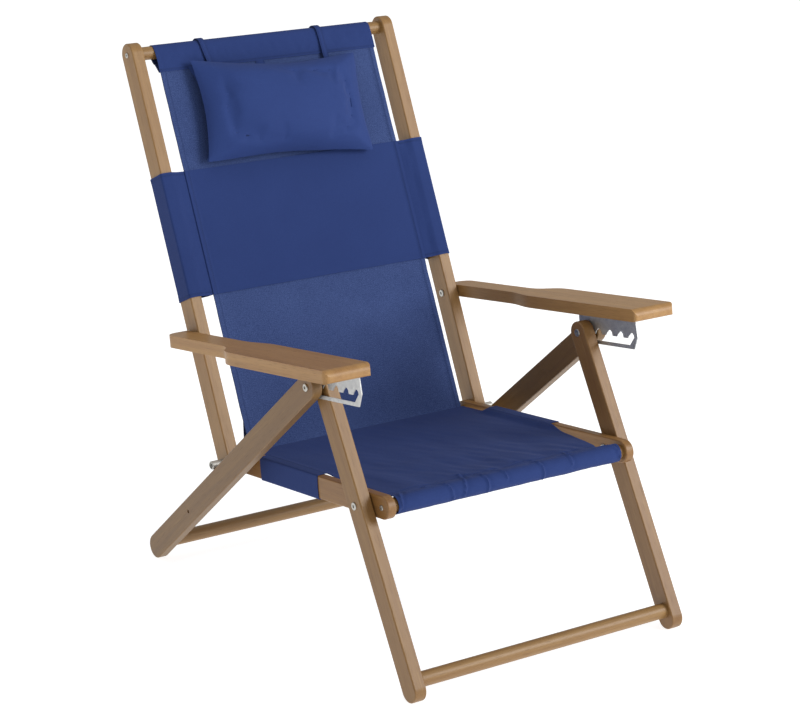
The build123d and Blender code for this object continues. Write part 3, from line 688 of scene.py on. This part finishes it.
def seat_place(column, row):
    back, up = seat_path[row]
    x = seat_across[column] * seat_half(column, row)
    walk = seat_far[row] - seat_far[SEAT_TOP_ROW]
    tuck = fold_height(x, walk) if TUCKS_FROM < walk < TUCKS_TO else 0.0
    if row <= SEAT_TOP_ROW:
        swell = 1 + (0.35 * ripple(x, walk, 16, 5.0) + 0.6 * ripple(x, walk, 45, 1.0)
                     + max(tuck, -0.8)) / SLEEVE_R
        return on_seat(x, back * swell, up * swell)
    edge = ease(abs(x), 150, 226)
    drape = math.exp(-back / 210) * ease(back, 0, 26)
    hang = -2.3 * math.sin(math.pi * back / SEAT_END) * (1 - edge) ** 2
    folds = 4.6 * ripple(x, back * 0.22, 38, 2.0) + 2.0 * ripple(x + back * 0.25, back * 0.3, 17, 7.0)
    hang += folds * drape * (1 - 0.7 * edge)
    hang += (2.2 * ripple(x * 0.6, back, 110, 9.0) * (1 - edge)
             * ease(back, 30, 120) * (1 - ease(back, 380, 430)))
    hang -= (1.7 * math.exp(-((back - 13 - 3 * ripple(x, 0, 40, 2.0)) / 6.0) ** 2)
             * (0.8 + 0.9 * ripple(x, 0, 30, 6.0)))
    joined = ease(back, 130, FLAP_FROM) * (1 - ease(back, FLAP_TO - 4, FLAP_TO + 16))
    lift = (RAIL_MEET - seat_height(back)) * ease(abs(x), 205, 226) * joined
    loose = ease(back, 0, 20) * (1 - ease(back, SEAT_END - 40, SEAT_END - 5))
    return on_seat(x, back, up + min(hang, 1.2) * loose + tuck * 0.8 + lift)


def seat_flat(column, row):
    return seat_across[column] * FRONT_HALF, seat_far[row]


def seat_seam(column, row):
    back = seat_path[row][0]
    x = seat_across[column] * seat_half(column, row)
    if row <= SEAT_TOP_ROW:
        return seat_far[row], abs(x) - (FRONT_HALF - 5.0)
    return x, min(back - 19.0, 30.0) if back < 60 else abs(abs(x) - seat_half(column, row)) - 5.0


seat, seat_grid = weave_sheet("seat_cloth", len(seat_across), len(seat_path),
                              seat_place, seat_flat, seat_seam)
thicken(seat, seat_grid, CLOTH)
seat.data.materials.append(canvas)
on_seat(0, BEND_FROM, 12)
on_seat(0, SEAT_END, 12)
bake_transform(seat)
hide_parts("seat_sling", "seat_sling_tail")
seat_area = sum((seat_half(0, r) + seat_half(0, r + 1)) * (seat_far[r + 1] - seat_far[r])
                for r in range(len(seat_path) - 1)) / 1e6

# ---- Seat rail sleeves: a canvas strip at each side, sewn to the seat cloth's edge and
# wrapped over the rail, down its outer face and back under it.
SEAT_RAIL_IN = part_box("seat_rail_right")[0].x * 1000
SEAT_RAIL_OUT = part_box("seat_rail_right")[1].x * 1000
SEAT_RAIL_HALF = 19.0
CUFF_SEAM = 226.4                 # where the strip is sewn to the seat cloth, across
CUFF_BEND = 2.4                   # the bend round the rail's edges
cuff_top, cuff_out, cuff_in = SEAT_RAIL_HALF + 0.95, SEAT_RAIL_OUT + 0.9, SEAT_RAIL_IN - 0.9
cuff_path = [(CUFF_SEAM, cuff_top)] + run((CUFF_SEAM, cuff_top), (SEAT_RAIL_IN + 0.6, cuff_top), 3)
cuff_path += run((SEAT_RAIL_IN + 0.6, cuff_top), (cuff_out - CUFF_BEND, cuff_top), 5)
cuff_path += bow(cuff_out - CUFF_BEND, cuff_top - CUFF_BEND, CUFF_BEND, 90, 0, 6)[1:]
cuff_path += run((cuff_out, cuff_top - CUFF_BEND), (cuff_out, -cuff_top + CUFF_BEND), 12)
cuff_path += bow(cuff_out - CUFF_BEND, -cuff_top + CUFF_BEND, CUFF_BEND, 0, -90, 6)[1:]
cuff_path += run((cuff_out - CUFF_BEND, -cuff_top), (cuff_in + CUFF_BEND, -cuff_top), 5)
cuff_path += bow(cuff_in + CUFF_BEND, -cuff_top + CUFF_BEND, CUFF_BEND, -90, -180, 5)[1:]
cuff_path += run((cuff_in, -cuff_top + CUFF_BEND), (cuff_in, 9.0), 8)
cuff_far = lengths(cuff_path)
cuff_back = cut_rows(FLAP_FROM, FLAP_TO, 1.5, 40)


def cuff_place(side):
    def place(column, row):
        (x, up), back = cuff_path[column], cuff_back[row]
        rim = ease(abs(back - FLAP_MID), 78, 90)
        swell = 0.22 * rim * (1 + ripple(cuff_far[column], side * 7, 14, 5.0))
        back += 0.8 * rim * ripple(cuff_far[column], side * 3, 24, 4.0)
        return on_seat(side * x, back, up + math.copysign(swell, up))
    return place


for side, hand in ((-1, "left"), (1, "right")):
    cuff, cuff_grid = weave_sheet("seat_rail_sleeve_" + hand, len(cuff_path), len(cuff_back), cuff_place(side),
                                  lambda c, r: (cuff_far[c], cuff_back[r]),
                                  lambda c, r: (cuff_back[r], cuff_far[c] - 3.0))
    thicken(cuff, cuff_grid, 1.0)
    cuff.data.materials.append(canvas)
    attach(cuff, "seat_frame")
    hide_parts("seat_sling")

# ---- Head pillow: two canvas faces sewn together along their edges, stuffed until the sides
# pull in between pointed corners, and hung against the sling.
PILLOW_WIDE, PILLOW_TALL = 372.0, 196.0       # the pouch before it is filled
STUFFED_WIDE, STUFFED_TALL = 167.0, 91.0      # half the finished pillow's width and height
STUFFED_FRONT, STUFFED_REAR = 46.0, 15.0      # how far each face bulges
PILLOW_BACK = 15.5                # the pillow's back, in front of the dowels' centres
PILLOW_UP, PILLOW_X, PILLOW_TILT = 589.0, -5.0, math.radians(-3.1)
bpy.ops.object.select_all(action="DESELECT")
bpy.ops.mesh.primitive_grid_add(x_subdivisions=74, y_subdivisions=40, size=2.0)
pillow = bpy.context.object
pillow.name = pillow.data.name = "pillow_pad"
for vertex in pillow.data.vertices:
    x, y = vertex.co.x, vertex.co.y
    crown = (1 - x * x) * (1 - y * y)
    x, y = x * PILLOW_WIDE / 2, y * PILLOW_TALL / 2
    vertex.co = Vector((x, y, 3.0 * crown ** 0.6 + 0.5 * ripple(x, y, 30, 1.0) * crown)) / 1000
bpy.ops.object.mode_set(mode="EDIT")
bpy.ops.mesh.select_all(action="SELECT")
bpy.ops.mesh.duplicate()
bpy.ops.transform.resize(value=(1, 1, -1))
bpy.ops.mesh.flip_normals()
bpy.ops.mesh.select_all(action="SELECT")
bpy.ops.mesh.remove_doubles(threshold=0.00002)
bpy.ops.mesh.normals_make_consistent(inside=False)
bpy.ops.object.mode_set(mode="OBJECT")

for vertex in pillow.data.vertices:
    x, y = vertex.co.x * 2000 / PILLOW_WIDE, vertex.co.y * 2000 / PILLOW_TALL
    crown = max((1 - x * x) * (1 - y * y), 0)
    vertex.co.z = math.copysign(1, vertex.co.z) * 0.04 * crown ** 0.52 if crown > 0 else 0.0
    vertex.co.x *= 0.92 - 0.06 * (1 - y * y)
    vertex.co.y *= 0.92 - 0.13 * (1 - x * x)


def fill_pillow(pad, most):
    """Blows the sewn pouch up as cloth under pressure, letting no point move further than most."""
    sewn = [v.co.copy() for v in pad.data.vertices]
    cloth = pad.modifiers.new("stuffing", "CLOTH")
    cloth.settings.quality = 8
    cloth.settings.mass = 0.3
    cloth.settings.tension_stiffness = 15
    cloth.settings.compression_stiffness = 15
    cloth.settings.shear_stiffness = 5
    cloth.settings.bending_stiffness = 0.5
    cloth.settings.air_damping = 2.0
    cloth.settings.use_pressure = True
    cloth.settings.uniform_pressure_force = 4.0
    cloth.settings.effector_weights.gravity = 0
    cloth.collision_settings.use_collision = False
    cloth.point_cache.frame_start, cloth.point_cache.frame_end = 1, 24
    for moment in range(1, 21):
        bpy.context.scene.frame_set(moment)
    bpy.context.view_layer.objects.active = pad
    bpy.ops.object.modifier_apply(modifier="stuffing")
    bpy.context.scene.frame_set(1)
    for vertex, start in zip(pad.data.vertices, sewn):
        moved = vertex.co - start
        if moved.length > most:
            vertex.co = start + moved * (most / moved.length)


fill_pillow(pillow, 0.009)
pick(pillow)
settle = pillow.modifiers.new("settle", "SMOOTH")
settle.factor, settle.iterations = 0.5, 4
bpy.ops.object.modifier_apply(modifier="settle")
half_wide = max(abs(v.co.x) for v in pillow.data.vertices)
half_tall = max(abs(v.co.y) for v in pillow.data.vertices)
half_thick = max(abs(v.co.z) for v in pillow.data.vertices)
for vertex in pillow.data.vertices:
    x, y = vertex.co.x / half_wide * STUFFED_WIDE, vertex.co.y / half_tall * STUFFED_TALL
    z = vertex.co.z / half_thick
    y -= 5.0 * max(y / STUFFED_TALL, 0) * (1 - (x / STUFFED_WIDE) ** 2)
    crown = 0.35 + 0.65 * ease(min(1 - abs(x) / STUFFED_WIDE, 1 - abs(y) / STUFFED_TALL), 0, 0.4)
    out = STUFFED_FRONT * z if z > 0 else STUFFED_REAR * z
    out += PILLOW_BACK + 15.0 * crown
    turned_x = x * math.cos(PILLOW_TILT) - y * math.sin(PILLOW_TILT)
    turned_y = x * math.sin(PILLOW_TILT) + y * math.cos(PILLOW_TILT)
    vertex.co = on_back(PILLOW_X + turned_x, PILLOW_UP + turned_y, max(out, PILLOW_BACK))
pick(pillow)
finer = pillow.modifiers.new("finer", "SUBSURF")
finer.levels = finer.render_levels = 1
bpy.ops.object.modifier_apply(modifier="finer")
bpy.ops.object.shade_smooth()
pillow_cloth = Finish("pillow_canvas", Roughness=0.8, Sheen_Weight=0.03, Sheen_Roughness=0.45,
                      Specular_IOR_Level=0.15)
pillow_place = pillow_cloth.node("TexCoord", out="Object")
pillow_lying = pillow_cloth.node("Mapping", {"Vector": pillow_place,
                                             "Rotation": (-slope(seat_rear, back_top), 0, 0)})
pillow_across, pillow_along = pillow_cloth.across_and_along(pillow_lying)
pillow_threads = ((pillow_across * (2 * math.pi / CANVAS_PITCH)).wave()
                  * (pillow_along * (2 * math.pi / CANVAS_PITCH)).wave())
pillow_slubs = (pillow_cloth.speckle(pillow_lying, (90, 900, 90), 1.0, 2.0)
                + pillow_cloth.speckle(pillow_lying, (900, 90, 90), 1.0, 2.0) - 1.0)
pillow_fading = pillow_cloth.speckle(pillow_place, (1, 1, 1), 14.0, 3.0)
pillow_tone = (pillow_threads * 0.1 + pillow_slubs * 0.35 + (pillow_fading - 0.5) * 0.5 + 0.5).clip()
pillow_cloth.feed(pillow_cloth.tint(pillow_tone, paint(40, 58, 112), paint(49, 70, 128)),
                  0.78 + pillow_threads * 0.05, pillow_threads * 0.3 + pillow_slubs * 0.5, 0.00025, 0.45)
pillow.data.materials.clear()
pillow.data.materials.append(pillow_cloth.material)
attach(pillow, "back_frame")
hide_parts("head_pillow")

# ---- Pillow straps: two narrow folded tapes sewn into the pillow's top edge, passed over the
# top dowel and left hanging behind it.
STRAP_WIDE, STRAP_TAIL = 11.0, 46.0
strap_ring = SLING_MID + 3.4
for side, hand, high_x, low_x in ((-1, "left", -127.0, -120.0), (1, "right", 112.0, 111.0)):
    pillow_edge = PILLOW_UP + (66.0 if side < 0 else 58.0)
    strap_start = (pillow_edge, strap_ring + 6.0)
    strap_path = [strap_start] + run(strap_start, (BACK_LONG - 4, strap_ring + 0.8), 14)
    strap_path += bow(BACK_LONG, 0, strap_ring, 84, -84, 18)
    strap_path += run((BACK_LONG, -strap_ring), (BACK_LONG - STRAP_TAIL, -strap_ring - 0.6), 10)
    strap_far = lengths(strap_path)
    strap_cross = [-STRAP_WIDE / 2 + STRAP_WIDE * k / 8 for k in range(9)]

    def strap_place(column, row):
        up, out = strap_path[row]
        x = high_x
        if out > 0:
            x += (low_x - high_x) * ease(BACK_LONG + 8 - up, 0, BACK_LONG + 8 - pillow_edge)
        bulge = 0.25 * (1 - (strap_cross[column] / (STRAP_WIDE / 2)) ** 2)
        return on_back(x + strap_cross[column], up, out + bulge)

    strap, strap_grid = weave_sheet("pillow_tape_" + hand, len(strap_cross), len(strap_path), strap_place,
                                    lambda c, r: (strap_cross[c], strap_far[r]),
                                    lambda c, r: (strap_far[r], abs(strap_cross[c]) - 3.9))
    thicken(strap, strap_grid, 1.4)
    strap.data.materials.append(canvas)
    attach(strap, "back_frame")
    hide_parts("pillow_strap_" + hand)
